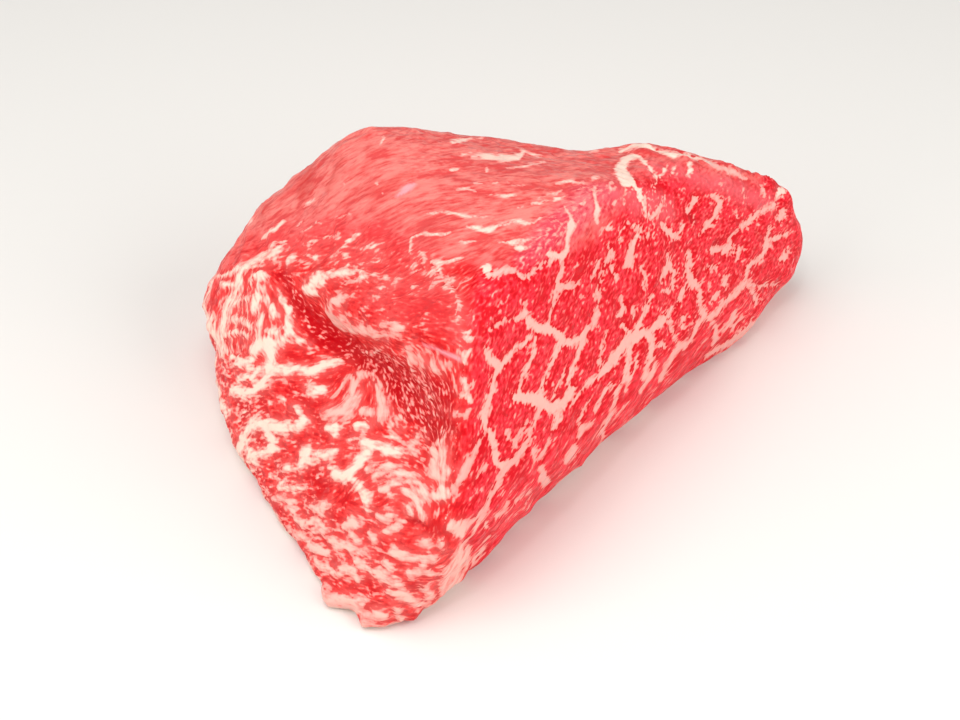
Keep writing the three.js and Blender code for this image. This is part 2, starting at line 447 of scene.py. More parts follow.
            [(243, 452, 5), (243, 444, 7), (246, 437, 8), (250, 430, 12), (255, 425, 16), (263, 423, 15),
             (271, 426, 14), (280, 429, 14), (290, 427, 10), (299, 424, 7), (305, 421, 5)],
            [(268, 430, 12), (273, 438, 12), (275, 447, 8), (268, 453, 6), (260, 453, 5), (254, 455, 7),
             (250, 448, 6)],
            [(252, 460, 5), (258, 462, 3)],
            [(297, 408, 4), (303, 415, 5), (304, 423, 6)],
            [(330, 428, 5), (338, 425, 5), (336, 434, 5)],
            [(309, 450, 8), (307, 458, 14), (302, 465, 11)],
            [(316, 456, 5), (328, 455, 4), (337, 452, 3)],
            [(365, 443, 10), (374, 446, 14), (384, 448, 14), (395, 452, 9), (404, 454, 4)],
            [(370, 452, 12), (363, 459, 12), (357, 465, 10), (352, 473, 10), (345, 478, 9),
             (337, 474, 7), (334, 466, 5)],
            [(352, 476, 12), (358, 482, 7), (364, 490, 8), (367, 498, 7), (368, 506, 6), (371, 512, 3)],
            [(352, 440, 3), (360, 438, 2)],
            [(358, 427, 6), (367, 425, 7)],
            [(283, 470, 4), (288, 467, 6)],
            [(281, 487, 5), (300, 487, 4)],
        ],
    },
    {
        "name": "swirl where the fibres turn",
        "cream": 0.6,
        "paths": [
            [(378, 476, 4), (388, 476, 3), (400, 473, 4), (412, 474, 3), (418, 476, 2)],
            [(386, 488, 3), (396, 484, 4), (408, 482, 3), (420, 483, 3), (428, 487, 3)],
            [(383, 489, 4), (392, 494, 3)],
            [(405, 489, 4), (415, 488, 3), (424, 492, 4), (430, 497, 3)],
            [(369, 470, 2), (380, 466, 2), (395, 467, 2)],
            [(408, 491, 4), (415, 494, 8), (420, 501, 7), (423, 509, 6), (425, 517, 4)],
            [(438, 495, 9), (445, 495, 11), (444, 489, 6)],
            [(409, 509, 8), (414, 513, 6)],
            [(419, 435, 4), (425, 430, 8), (427, 436, 5)],
            [(395, 420, 4), (399, 428, 5)],
        ],
    },
    {
        "name": "flecks and ribs towards the toe",
        "cream": 0.5,
        "paths": [
            [(276, 498, 3), (285, 497, 3), (294, 503, 4)],
            [(293, 508, 5), (298, 518, 4), (303, 525, 4), (308, 528, 2)],
            [(313, 507, 6), (322, 512, 7), (326, 505, 5)],
            [(313, 522, 7), (322, 524, 6), (327, 527, 4)],
            [(317, 530, 6), (326, 531, 5)],
            [(296, 535, 4), (305, 537, 4), (312, 541, 3)],
            [(335, 540, 8), (342, 545, 10), (350, 547, 8), (358, 549, 10), (365, 552, 10), (370, 556, 6)],
            [(310, 546, 5), (320, 549, 8), (328, 553, 6)],
            [(318, 562, 6), (325, 566, 6), (333, 571, 5), (342, 573, 4)],
            [(360, 562, 7), (366, 565, 7), (372, 568, 4)],
            [(345, 567, 8), (355, 572, 8), (360, 577, 5)],
            [(374, 571, 6), (382, 575, 9), (392, 579, 7), (400, 584, 5)],
            [(386, 562, 5), (392, 565, 5)],
            [(395, 552, 4), (405, 556, 6), (415, 558, 5), (425, 557, 4)],
            [(412, 572, 9), (422, 569, 8), (427, 571, 4)],
            [(389, 590, 3), (397, 594, 7), (408, 597, 6), (415, 601, 6), (425, 603, 5), (429, 594, 4)],
            [(337, 601, 7), (346, 599, 10), (355, 602, 9), (358, 609, 5)],
            [(377, 611, 6), (385, 613, 5)],
            [(364, 603, 5), (364, 604, 5)],
            [(398, 608, 4), (399, 614, 3)],
            [(396, 527, 6), (400, 524, 5)],
            [(388, 531, 4), (389, 531, 4)],
            [(352, 533, 5), (358, 538, 4)],
            [(371, 534, 4), (374, 541, 4)],
            [(380, 515, 4), (387, 519, 4), (394, 515, 3)],
            [(355, 520, 8), (345, 527, 4), (358, 525, 4)],
        ],
    },
    {
        "name": "pale rim of the toe",
        "cream": 0.25,
        "paths": [
            [(326, 590, 8), (333, 599, 12), (345, 604, 11), (356, 608, 7)],
            [(366, 618, 5), (374, 617, 7), (381, 615, 4)],
        ],
    },
    {
        "name": "streaks along the far side of the top",
        "cream": 0.8,
        "paths": [
            [(471, 157, 3), (480, 155, 6), (489, 156, 9), (499, 158, 11), (509, 158, 10), (518, 157, 8),
             (524, 153, 5), (533, 154, 3), (541, 156, 2)],
            [(507, 168, 3), (517, 167, 3), (526, 165, 4), (536, 164, 3), (545, 163, 2)],
            [(462, 155, 3), (472, 153, 2)],
            [(451, 169, 4), (458, 168, 3)],
            [(450, 138, 3), (458, 140, 6), (466, 139, 6), (474, 137, 6), (480, 138, 6), (486, 139, 3)],
            [(452, 143, 4), (460, 143, 4)],
            [(383, 138, 4), (381, 144, 4)],
            [(516, 147, 4), (522, 150, 3)],
            [(590, 153, 3), (600, 152, 2)],
            [(486, 170, 4), (485, 167, 3)],
        ],
    },
    {
        "name": "streaks over the middle of the top",
        "cream": 0.8,
        "paths": [
            [(456, 190, 3), (464, 189, 4), (470, 188, 3), (477, 191, 2)],
            [(493, 182, 4), (497, 181, 4)],
            [(507, 182, 2), (515, 184, 2.5), (523, 187, 3)],
            [(490, 193, 2), (498, 195, 2)],
            [(502, 195, 4), (510, 195, 4), (517, 196, 2)],
            [(476, 183, 3), (484, 184, 3)],
            [(427, 213, 2), (436, 212, 3), (445, 213, 3), (454, 213, 5), (462, 215, 4), (471, 216, 3),
             (481, 217, 3), (488, 216, 1.5)],
            [(466, 226, 4), (474, 227, 5), (482, 229, 6), (490, 229, 6), (498, 226, 5), (505, 224, 5),
             (512, 222, 5), (519, 222, 5), (527, 224, 5), (536, 223, 5), (541, 217, 3)],
            [(410, 253, 3), (411, 245, 4), (412, 238, 5), (420, 235, 5), (430, 235, 6), (440, 234, 5),
             (449, 232, 3)],
            [(498, 243, 3), (508, 242, 5), (518, 241, 4), (528, 241, 2)],
            [(516, 247, 6), (521, 247, 9), (526, 248, 4)],
            [(456, 242, 2), (462, 242, 4), (470, 241, 4), (477, 241, 2)],
            [(434, 263, 4), (438, 266, 5), (445, 263, 5), (452, 261, 5), (458, 259, 3), (462, 258, 2)],
            [(440, 270, 3), (441, 275, 3)],
            [(484, 268, 9), (488, 272, 10), (488, 265, 8)],
            [(517, 208, 3), (523, 206, 3)],
            [(532, 205, 4), (540, 203, 4), (548, 200, 3)],
            [(555, 199, 5), (561, 198, 4), (567, 196, 2)],
            [(537, 198, 2), (546, 195, 2.5), (556, 192, 3), (564, 190, 2)],
            [(556, 184, 3), (563, 182, 4), (570, 181, 4), (577, 182, 3), (585, 183, 2)],
            [(592, 178, 3), (599, 177, 2)],
            [(575, 189, 2), (583, 188, 2)],
        ],
    },
    {
        "name": "short fat on the shoulder",
        "cream": 0.85,
        "paths": [
            [(262, 238, 4), (270, 233, 5), (278, 229, 6), (284, 222, 5)],
            [(270, 257, 8), (278, 252, 10), (284, 247, 6), (289, 243, 3)],
            [(275, 243, 5), (273, 249, 5)],
            [(266, 260, 4), (262, 265, 3)],
            [(304, 208, 2), (310, 203, 3), (316, 199, 2)],
            [(297, 225, 3), (303, 222, 3)],
            [(317, 223, 4), (320, 222, 3)],
            [(337, 218, 2.5), (345, 215, 3), (352, 213, 2)],
            [(304, 245, 2), (313, 241, 3), (322, 238, 3), (331, 236, 3), (338, 235, 3)],
            [(333, 257, 3), (340, 251, 3), (346, 246, 3), (349, 240, 4), (354, 236, 5), (358, 234, 3)],
            [(308, 250, 3), (313, 249, 3)],
            [(356, 267, 2), (363, 265, 4), (370, 262, 2.5), (376, 258, 3), (381, 259, 2)],
            [(363, 272, 5), (365, 277, 5), (363, 281, 4)],
            [(375, 253, 4), (379, 252, 3)],
            [(346, 255, 5), (347, 256, 4)],
            [(350, 265, 4), (347, 270, 3)],
            [(315, 257, 4), (308, 256, 3)],
            [(290, 262, 4), (294, 257, 4)],
            [(326, 277, 5), (332, 275, 4)],
            [(246, 266, 4), (258, 258, 4), (272, 250, 4), (286, 241, 3)],
            [(322, 283, 3), (334, 277, 3), (346, 272, 3), (358, 269, 2)],
            [(300, 234, 2), (312, 228, 3), (326, 224, 2)],
            [(360, 250, 2), (372, 246, 3), (384, 244, 2)],
            [(343, 183, 3), (344, 183, 3)],
            [(377, 184, 3), (378, 184, 3)],
            [(381, 193, 3), (382, 193, 3)],
            [(258, 207, 3), (253, 217, 4), (250, 225, 3)],
        ],
    },
    {
        "name": "rim of the curled flap and round it",
        "cream": 0.6,
        "paths": [
            [(420, 253, 3), (425, 256, 4), (426, 260, 4), (423, 263, 3)],
            [(416, 265, 3), (411, 269, 4)],
            [(424, 273, 2), (430, 274, 3), (434, 272, 3)],
            [(437, 277, 3), (433, 283, 3), (430, 288, 4)],
            [(448, 281, 3), (452, 280, 2)],
            [(445, 288, 3), (449, 286, 3), (451, 290, 2)],
            [(418, 287, 4), (411, 285, 3)],
            [(394, 285, 5), (398, 277, 4)],
            [(388, 278, 3), (387, 281, 2)],
            [(372, 276, 3), (377, 276, 3)],
            [(373, 297, 4), (379, 296, 4), (380, 290, 3), (383, 287, 3), (388, 289, 3)],
        ],
    },
]

# Washes of another colour, drawn the same way. soft is how many pixels their edge takes.
WASHES = {
    "top": {
        "soft": 34,
        "paths": [
            [(246, 228, 20), (272, 212, 46), (330, 184, 88), (400, 180, 108), (462, 200, 134),
             (515, 202, 116), (562, 198, 92), (592, 184, 56), (620, 162, 24), (690, 158, 12),
             (750, 176, 10)],
        ],
    },
    # The hollow under the lip: its deep red is painted shade, partly the lean's own darker red too; it
    # also makes the pattern finer, the fat slimmer and the surface pitted there
    "hollow": {
        "soft": 16,
        "paths": [
            [(282, 280, 10), (306, 314, 20), (332, 343, 24), (360, 355, 20), (395, 375, 36),
             (425, 400, 50), (440, 430, 30)],
        ],
    },
    "flecked": {
        "soft": 20,
        "paths": [
            [(648, 205, 40), (662, 240, 44), (672, 280, 40), (655, 315, 30)],
            [(380, 370, 40), (410, 410, 60), (420, 450, 40)],
            [(320, 560, 50), (380, 580, 50)],
            [(238, 285, 44), (232, 345, 30), (250, 400, 30), (262, 470, 36), (310, 520, 50)],
        ],
    },
    # Painted shade in the creases of the fold on the shoulder and in the lines beside it
    "fold_shade": {
        "soft": 12,
        "paths": [
            [(318, 152, 4), (310, 166, 8), (306, 182, 12), (300, 196, 8)],
            [(342, 158, 2), (334, 176, 5), (328, 190, 3)],
            [(270, 204, 3), (262, 216, 6)],
            [(372, 196, 2), (392, 184, 4), (412, 172, 3)],
        ],
    },
    "calm": {
        "soft": 20,
        "paths": [
            [(366, 300, 20), (392, 298, 40), (424, 304, 50), (450, 314, 44), (456, 332, 24)],
            [(270, 238, 24), (310, 232, 40), (350, 238, 56), (402, 254, 50)],
        ],
    },
    "streaked": {
        "soft": 20,
        "paths": [
            [(450, 582, 26), (486, 530, 40), (540, 486, 46), (600, 430, 38), (650, 390, 30),
             (692, 352, 26), (736, 312, 16)],
        ],
    },
    "brow": {
        "soft": 18,
        "paths": [
            [(648, 168, 10), (690, 176, 16), (730, 188, 20), (768, 204, 14)],
            [(610, 190, 12), (638, 200, 26), (662, 210, 22)],
        ],
    },
    "clot": {
        "soft": 4,
        "paths": [
            [(425, 264, 3), (422, 268, 3), (416, 272, 3), (413, 274, 2)],
            [(432, 265, 2), (436, 268, 3), (439, 275, 3), (444, 280, 3), (443, 287, 2)],
            [(447, 275, 2), (450, 285, 3), (457, 290, 2)],
            [(391, 519, 2), (405, 522, 4), (420, 523, 4), (427, 526, 3)],
            [(692, 218, 9), (694, 222, 9)],
            [(716, 243, 9), (718, 247, 9)],
        ],
    },
    "sinew": {
        "soft": 3,
        "paths": [
            [(422, 344, 1.5), (432, 348, 2), (441, 352, 3), (451, 356, 4), (461, 359, 4)],
            [(398, 196, 2), (404, 191, 5), (411, 187, 5), (416, 184, 2)],
        ],
    },
    # A painted sheen along the rounded ridge: a purplish tint, with flecks and fibres that stand for its
    # glints
    "ridge_sheen": {
        "soft": 22,
        "paths": [
            [(524, 262, 14), (542, 246, 26), (560, 225, 36), (582, 206, 36), (606, 192, 22)],
        ],
    },
}

# The way the fibres lie on the faces that the photograph shows, drawn the same way
FIBRES = [
    [(262, 205), (300, 180), (345, 155), (385, 135)],
    [(240, 245), (290, 218), (335, 196)],
    [(262, 268), (325, 243), (392, 214)],
    [(345, 215), (410, 190), (480, 186), (560, 190), (600, 175)],
    [(395, 165), (450, 152), (520, 150), (600, 155)],
    [(398, 262), (440, 238), (490, 228), (545, 214)],
    [(400, 300), (455, 275), (500, 250)],
    [(233, 282), (220, 320), (223, 350)],
    [(258, 280), (264, 315), (256, 345)],
    [(270, 278), (297, 303), (322, 330), (352, 346), (400, 372)],
    [(330, 300), (345, 322), (372, 333)],
    [(345, 290), (400, 306), (458, 316)],
    [(360, 318), (410, 330), (458, 340)],
    [(230, 365), (280, 370), (335, 362)],
    [(228, 398), (260, 390), (300, 404)],
    [(262, 345), (275, 365), (262, 388)],
    [(358, 376), (352, 400), (334, 414)],
    [(380, 374), (384, 395), (380, 418)],
    [(400, 378), (416, 400), (434, 428)],
    [(425, 360), (440, 385), (448, 410)],
    [(452, 350), (456, 400), (446, 430), (440, 470)],
    [(240, 448), (256, 424), (285, 424), (318, 432)],
    [(262, 452), (300, 448), (345, 440)],
    [(262, 482), (300, 486), (335, 478)],
    [(318, 432), (360, 440), (390, 448)],
    [(390, 430), (410, 440), (432, 452)],
    [(340, 500), (356, 476), (380, 464), (404, 468), (424, 482), (436, 500), (430, 524)],
    [(382, 496), (400, 486), (416, 494), (424, 510), (416, 524)],
    [(350, 508), (370, 520), (396, 524), (418, 528)],
    [(290, 508), (325, 515), (355, 525)],
    [(308, 536), (352, 548), (392, 560), (425, 562)],
    [(322, 564), (360, 572), (396, 584), (428, 586)],
    [(335, 590), (352, 600), (380, 606), (412, 606)],
    [(446, 596), (466, 562), (496, 528)],
    [(452, 520), (470, 484), (490, 448)],
    [(478, 440), (488, 400), (500, 360)],
    [(474, 348), (484, 318), (500, 290)],
    [(520, 480), (548, 440), (572, 396)],
    [(520, 400), (542, 360), (560, 326)],
    [(540, 300), (556, 270), (572, 240)],
    [(586, 424), (620, 378), (646, 340)],
    [(584, 350), (600, 312), (616, 280)],
    [(590, 240), (604, 214), (616, 190)],
    [(640, 300), (656, 262), (668, 226)],
    [(664, 380), (700, 338), (740, 296)],
    [(690, 300), (716, 262), (744, 230)],
    [(680, 220), (704, 196), (730, 180)],
    [(740, 226), (760, 214), (786, 204)],
    [(742, 300), (768, 262), (790, 236)],
]

# Small bumps and dents of the outline: x, y and radius in photo pixels, and height
BUMPS = [
    (330, 600, 11, 2.0),
    (352, 612, 6, -0.8),
    (366, 621, 6, 1.4),
    (380, 622, 8, 1.0),
    (412, 616, 9, 1.3),
    (322, 580, 8, -0.7),
    (797, 198, 12, 1.1),
    (800, 232, 10, 0.5),
    (785, 275, 16, 1.0),
    (752, 166, 14, -0.9),
    (640, 146, 16, 0.5),
    (210, 275, 12, -0.7),
    (207, 305, 8, 0.5),
    (220, 350, 12, -0.8),
    (227, 425, 12, 0.7),
    (470, 550, 10, -0.5),
    (525, 508, 8, 0.7),
    (580, 464, 6, 0.6),
    (262, 205, 7, 0.6),
    (420, 262, 7, 0.9),
    (425, 272, 5, -1.2),
    (452, 284, 6, -1.0),
]


def linear(hex_colour):
    """Turns an sRGB hex colour to the linear values that Blender's sockets take"""
    parts = [int(hex_colour[i:i + 2], 16) / 255 for i in (1, 3, 5)]
    return tuple(c / 12.92 if c <= 0.04045 else ((c + 0.055) / 1.055) ** 2.4 for c in parts) + (1.0,)


def smoothstep(low, high, value):
    share = np.clip((value - low) / (high - low), 0, 1)
    return share * share * (3 - 2 * share)


def on_photo(places):
    """Where places on the block appear in the photograph, in its pixels"""
    seen_from_eye = places - EYE
    focal_pixels = LENS / SENSOR * PHOTO_WIDTH / -(seen_from_eye @ BACK)
    x = PHOTO_WIDTH / 2 + focal_pixels * (seen_from_eye @ RIGHT)
    y = PHOTO_HEIGHT / 2 - focal_pixels * (seen_from_eye @ UP)
    return np.column_stack([x, y])


def waves(places, kind, number=0):
    """Smooth unevenness between about -1 and 1, of a kind that UNEVEN names"""
    across, along, seed = UNEVEN[kind]
    grained = places @ GRAIN_FRAME / [across, across, along] + (seed + 10 * number)
    return np.array([noise.noise(place) for place in grained.tolist()])


def sideways(places, kind, axes):
    """Unevenness of one kind that goes its own way on each axis"""
    return np.column_stack([waves(places, kind, number) for number in range(axes)])


def distance_to_path(pixels, path, slim):
    """Signed distance in pixels to the edge of one seam, negative inside it"""
    distance = np.full(len(pixels), float(FAR))
    stops = np.array(path, float)
    stops[:, 2] -= (1 - slim) * np.maximum(stops[:, 2] - THIN, 0)
    margin = FAR + stops[:, 2].max() / 2
    low, high = stops[:, :2].min(0) - margin, stops[:, :2].max(0) + margin
    near = np.nonzero(np.all((pixels > low) & (pixels < high), axis=1))[0]
    for start, stop in zip(stops, stops[1:]):
        run = stop - start
        offset = pixels[near] - start[:2]
        share = np.clip(offset @ run[:2] / (run[:2] @ run[:2]), 0, 1)
        gap = np.linalg.norm(offset - share[:, None] * run[:2], axis=1)
        distance[near] = np.minimum(distance[near], gap - (start[2] + share * run[2]) / 2)
    return distance


def union(distances):
    """Signed distance to the nearest of several seams, which run together where they meet"""
    nearest = float(FAR)
    for distance in distances:
        overlap = np.maximum(FILLET - np.abs(nearest - distance), 0)
        nearest = np.minimum(nearest, distance) - overlap ** 2 / (4 * FILLET)
    return nearest


def distance_to_paths(pixels, paths, slim=1):
    return union(distance_to_path(pixels, path, slim) for path in paths)


def bumps(pixels):
    x, y, radius, height = np.array(BUMPS).T
    gap = np.hypot(pixels[:, :1] - x, pixels[:, 1:] - y)
    return np.exp(-(gap / radius) ** 2) @ height


def fibre_run(pixels):
    """Which way the drawn fibres lie, as a complex number of x and y for each place. Doubling the
    angle makes a run and its reverse count as the same."""
    places = pixels[:, 0] + 1j * pixels[:, 1]
    total = np.zeros(len(places), complex)
    for path in FIBRES:
        stops = [x + 1j * y for x, y in path]
        for start, stop in zip(stops, stops[1:]):
            run = stop - start
            share = np.clip(((places - start) / run).real, 0, 1)
            gap = np.abs(places - start - share * run)
            total += (run / abs(run)) ** 2 / (gap ** 2 + FIBRE_REACH ** 2) ** 2
    return np.sqrt(total / np.abs(total))


def by_face(values, cut_across, torn_end):
    """A value for each place, from the three that hold where the surface runs along the fibres,
    where a knife cut them across and where they were torn"""
    value = values["along"] + cut_across * (values["cut"] - values["along"])
    return value + torn_end * (values["torn"] - value)


def comb_strokes(places, outward, seen, cut_across, torn_end, knife_cut, fine, streaked):
    """A vector along the surface for each place: where the fibres run and half as far as they
    draw the fine pattern out"""
    eye = towards_eye(places)
    run = fibre_run(on_photo(places))
    towards = COMB_TOWARDS["end"] + knife_cut * (COMB_TOWARDS["cut"] - COMB_TOWARDS["end"])
    usual = np.exp(1j * np.radians(towards))
    run = run * np.where((run * usual.conj()).real < 0, -1, 1)
    drawn = run.real[:, None] * RIGHT - run.imag[:, None] * UP
    slant = np.maximum(np.sum(outward * eye, axis=1), 0.25)
    drawn = drawn - eye * (np.sum(drawn * outward, axis=1) / slant)[:, None]
    drawn /= np.linalg.norm(drawn, axis=1)[:, None]
    length = by_face(COMBED, cut_across, torn_end)
    length = length * (1 - 0.35 * fine) * (1 + streaked)
    guessed = GRAIN - outward * (outward @ GRAIN)[:, None]
    return drawn * (length * seen)[:, None] + guessed * (COMBED["along"] * (1 - seen))[:, None]


def evaluated(piece):
    """The piece's mesh with its modifiers applied, after which it carries none"""
    depsgraph = bpy.context.evaluated_depsgraph_get()
    mesh = bpy.data.meshes.new_from_object(piece.evaluated_get(depsgraph))
    piece.modifiers.clear()
    piece.data = mesh
    return mesh


def vectors(mesh, name):
    """One of the vectors that a mesh holds for its vertices"""
    flat = np.empty(len(mesh.vertices) * 3, np.float32)
    mesh.vertices.foreach_get(name, flat)
    return flat.reshape(-1, 3).astype(float)


def towards_eye(places):
    ray = EYE - places
    return ray / np.linalg.norm(ray, axis=1)[:, None]


def facing_eye(places, outward):
    return np.sum(outward * towards_eye(places), axis=1)


def relax(piece, rounds):
    """Evens the vertices out among their neighbours"""
    relaxed = piece.modifiers.new("relaxed", "SMOOTH")
    relaxed.factor = 0.5
    relaxed.iterations = rounds


def block_skin():
    """The solid's own surface with its facets rounded, and finer where the photograph sees it"""
    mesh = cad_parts["meat"].data.copy()
    mesh.materials.clear()
    shell = bmesh.new()
    shell.from_mesh(mesh)
    bmesh.ops.remove_doubles(shell, verts=shell.verts, dist=0.001 * MM)
    shell.to_mesh(mesh)
    shell.free()
    piece = bpy.data.objects.new("marbled_block", mesh)
    bpy.context.scene.collection.objects.link(piece)

    rounded = piece.modifiers.new("rounded", "SUBSURF")
    rounded.levels = rounded.render_levels = 2
    even = piece.modifiers.new("even", "REMESH")
    even.mode = "VOXEL"
    even.voxel_size = SKIN_SPACING * MM
    relax(piece, RELAXING)
    mesh = evaluated(piece)

    facing = facing_eye(vectors(mesh, "co") / MM, vectors(mesh, "normal"))
    shell = bmesh.new()
    shell.from_mesh(mesh)
    shown = [edge for edge in shell.edges if all(facing[v.index] > FINER_FROM for v in edge.verts)]
    bmesh.ops.subdivide_edges(shell, edges=shown, cuts=1, use_grid_fill=True)
    bmesh.ops.triangulate(shell, faces=[f for f in shell.faces if len(f.verts) > 4])
    shell.to_mesh(mesh)
    shell.free()
    relax(piece, RELAXING // 2)
    evaluated(piece)
    return piece


def spread(mesh, values, rounds):
    """Values at the vertices, averaged over their neighbours again and again"""
    ends = np.empty(len(mesh.edges) * 2, np.int32)
    mesh.edges.foreach_get("vertices", ends)
    one, other = ends.reshape(-1, 2).T
    count = np.bincount(ends, minlength=len(values))
    for _ in range(rounds):
        values = np.column_stack([
            np.bincount(one, column[other], len(values)) + np.bincount(other, column[one], len(values))
            for column in values.T
        ]) / count[:, None]
    return values


def washed(places, pixels, seen):
    """How much of each wash lies on each place, from 0 to 1"""
    drift = sideways(places, "washes", 2)
    washes = {}
    for name, wash in WASHES.items():
        distance = distance_to_paths(pixels + wash["soft"] / 4 * drift, wash["paths"])
        washes[name] = seen * smoothstep(wash["soft"] / 2, -wash["soft"] / 2, distance)
    return washes


def faces_at(mesh, places, outward, seen, top):
    """How far each place belongs to the level faces, the torn end and the knife's cut"""
    broad = spread(mesh, outward, BROAD_ROUNDS)
    broad /= np.linalg.norm(broad, axis=1)[:, None]
    from_heart = places - HEART
    bearing = np.degrees(np.arctan2(from_heart[:, 1], from_heart[:, 0])) % 360
    past_end = smoothstep(*TO_KNIFE_CUT, bearing)
    level = smoothstep(*LEVEL, broad[:, 2]) * (1 - seen) + top
    torn_end = smoothstep(*TO_TORN_END, bearing) * (1 - past_end) * (1 - level)
    knife_cut = past_end * (1 - smoothstep(*FROM_KNIFE_CUT, bearing)) * (1 - level)
    return level, torn_end, knife_cut


def bundle_walls(places, cut_across):
    """Signed distance in millimetres to the fat between bundles, negative inside it"""
    bent = places + sideways(places, "bundles", 3) * BUNDLE_BEND
    size = [BUNDLE_ACROSS, BUNDLE_ACROSS, BUNDLE_ALONG]
    cells = (bent @ GRAIN_FRAME / size).tolist()
    gaps = np.array([(d[1] - d[0]) for d in (noise.voronoi(cell)[0] for cell in cells)])
    thickness = WALL * (WALL_ALONG + (1 - WALL_ALONG) * cut_across)
    thickness = thickness * (1 + 0.9 * waves(places, "walls"))
    return (gaps * BUNDLE_ACROSS - thickness) / 2


def fat_at(places, pixels, seen, level, torn_end, cut_across):
    """Signed distance in millimetres to the fat, negative inside it, and how creamy the fat is"""
    groups = [distance_to_paths(pixels, group["paths"], SLIM) for group in SEAMS]
    say = np.exp(-(np.array(groups) - np.min(groups, axis=0)) / 2)
    cream = np.array([group["cream"] for group in SEAMS]) @ say / say.sum(axis=0)
    cream = cream * seen + (0.2 + 0.7 * torn_end + 0.4 * level) * (1 - seen)
    seam = union(groups) / PIXELS_PER_MM * seen + bundle_walls(places, cut_across) * (1 - seen)
    seam = seam * (1 - 0.25 * torn_end) + np.minimum(seam, 0) * (1 - torn_end)
    return seam, cream


def relief(places, seam, level, torn_end, cut_across, washes):
    """How far the surface stands proud of the solid's, in millimetres"""
    edges = 4 * np.maximum(level * (1 - level), 0.8 * torn_end * (1 - torn_end))
    lobes = 1 - np.exp(-np.maximum(seam, 0) / LOBE_ROUNDING)
    lobes = LOBE_RISE * cut_across * (1 - torn_end) * lobes
    proud = FAT_RISE * torn_end * smoothstep(0.25, -0.6, seam)
    fibres = FIBRE_RISE * (1 - 0.5 * cut_across) * waves(places, "fibres")
    crumbs = waves(places, "crumbs") + 0.6 * waves(places, "fine crumbs")
    crumbs = CRUMB * (0.25 + 0.35 * torn_end + 0.6 * edges) * crumbs
    pits = CLOT_DEPTH * washes["clot"] + PIT_DEPTH * washes["hollow"] * waves(places, "pits")
    return smoothstep(*FOOT, places[:, 2]) * (lobes + proud + fibres + crumbs - pits)


def clothe(piece):
    """Gives the skin its relief and stores what the material needs to know at each vertex"""
    mesh = piece.data
    places = vectors(mesh, "co") / MM
    outward = vectors(mesh, "normal")
    facing = facing_eye(places, outward)
    seen = smoothstep(*SEEN, facing)
    pixels = on_photo(places) + SEAM_WOBBLE * sideways(places, "seams", 2)

    washes = washed(places, pixels, seen)
    level, torn_end, knife_cut = faces_at(mesh, places, outward, seen, washes.pop("top"))
    cut_across = torn_end + knife_cut
    fine = sum(share * washes[name] for name, share in FINER.items())
    fine = np.clip(fine + FINER_CUT * knife_cut, 0, 1)
    reach = by_face(FLECK_REACH, cut_across, torn_end) + PATCHY * waves(places, "flecks")
    reach = reach + sum(share * washes[name] for name, share in FARTHER.items())
    streaked = washes.pop("streaked")
    washes.pop("flecked")

    seam, cream = fat_at(places, pixels, seen, level, torn_end, cut_across)
    full = torn_end * (1 - 0.9 * np.maximum(washes["calm"], washes["hollow"]))
    seam = seam - SWELL["torn"] * full - SWELL["cut"] * knife_cut
    halo = torn_end * np.exp(-np.maximum(seam, 0) / HALO)

    rise = relief(places, seam, level, torn_end, cut_across, washes)
    rise += bumps(on_photo(places)) * smoothstep(*BEHIND_OUTLINE, facing)
    places = places + outward * rise[:, None]
    places[:, 2] = np.maximum(places[:, 2], 0)
    mesh.vertices.foreach_set("co", (places * MM).astype(np.float32).ravel())

    stored = {
        "seam": np.minimum(seam, reach),
        "halo": halo * (1 + 0.5 * waves(places, "halo")),
        "cream": cream,
        "cut_across": cut_across,
        "torn_end": torn_end,
        "knife_cut": knife_cut,
        "fine": fine,
        **washes,
    }
    for name, values in stored.items():
        mesh.attributes.new(name, "FLOAT", "POINT").data.foreach_set("value", values.astype(np.float32))
    strokes = comb_strokes(places, outward, seen, cut_across, torn_end, knife_cut, fine, streaked)
    comb = mesh.attributes.new("comb", "FLOAT_VECTOR", "POINT")
    comb.data.foreach_set("vector", (strokes * MM).astype(np.float32).ravel())
    mesh.polygons.foreach_set("use_smooth", np.ones(len(mesh.polygons), bool))
    mesh.update()


def plug(sockets, name):
    """The socket of this name or number, of those that the node's settings leave in use"""
    if isinstance(name, int):
        return sockets[name]
    return next(socket for socket in sockets if socket.enabled and socket.name == name)


def add(tree, kind, links=None, values=None, gives=None, **settings):
    """Adds one node with its settings, the constants on its sockets and what is linked to them,
    and returns its first output or the one that gives names"""
    made = tree.nodes.new(kind)
    for name, value in settings.items():
        setattr(made, name, value)
    for name, value in (values or {}).items():
        plug(made.inputs, name).default_value = value
    for name, source in (links or {}).items():
        tree.links.new(source, plug(made.inputs, name))
    if gives:
        return plug(made.outputs, gives)
    return next((socket for socket in made.outputs if socket.enabled), None)


# Sizes of the fine patterns in the meat, across and along the fibres, and how far they swirl
PATTERNS = {
    "streaks": {"across": 1.0, "along": 11, "swirl": 0.2},
    "veins": {"across": 4.5, "along": 10, "swirl": 0.8},
    "patches": {"across": 6, "along": 11, "swirl": 0.5},
    "wet spots": {"across": 2, "along": 3, "swirl": 0},
}

# Unevenness that is combed out along the fibres: the size of its waves, what share of a stroke
# it is averaged over and how much contrast it gets back for that, also where it is finest
COMBS = {
    "bunches": {"wave": 2.1, "reach": 1, "gain": 1.5, "fine gain": 0.3},
    "fibres": {"wave": 0.8, "reach": 0.45, "gain": 1.1, "fine gain": 1.8},
}
COMB_TEETH = 7  # places along a stroke that it is averaged over
STREAKY = 0.6  # share of the long streaks where the surface runs along the fibres
SEAM_SLOPE = 0.33  # how fast a millimetre away from a seam takes the fat out of the pattern
BUMP_DEPTH = 0.28  # of the grooves between fibres

